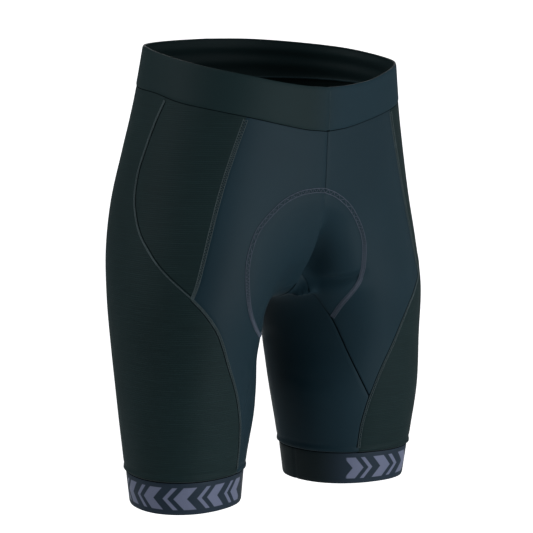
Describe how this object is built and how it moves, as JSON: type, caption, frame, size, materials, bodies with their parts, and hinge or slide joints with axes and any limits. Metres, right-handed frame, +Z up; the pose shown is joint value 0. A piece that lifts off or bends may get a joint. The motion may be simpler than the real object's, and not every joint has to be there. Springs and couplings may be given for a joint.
{
  "type": "cycling shorts",
  "caption": "Close-fitting cycling shorts, filled out as worn, with panelled legs, a deep waistband and plain leg bands.",
  "frame": {"origin": "middle of the waist opening, at the height where the waistband grips the waist", "axes": "+Z up; the wearer faces -Y; the wearer's left leg is at +X"},
  "size_m": [0.3836, 0.2409, 0.504],
  "materials": {
    "waistband": "matt double-layer stretch knit",
    "front_panel": "smooth stretch knit with a soft sheen",
    "side_panel": "stretch knit with a fine horizontal rib",
    "inner_leg": "smooth stretch knit",
    "leg_band": "dense elastic band with a plain printed motif"
  },
  "bodies": {
    "root": {"waistband": "waistband", "front_left": "front_panel", "front_right": "front_panel", "hip_left": "side_panel", "hip_right": "side_panel", "seat_left": "side_panel", "seat_right": "side_panel", "inner_leg_left": "inner_leg", "inner_leg_right": "inner_leg", "leg_band_left": "leg_band", "leg_band_right": "leg_band"}
  },
  "joints": []
}
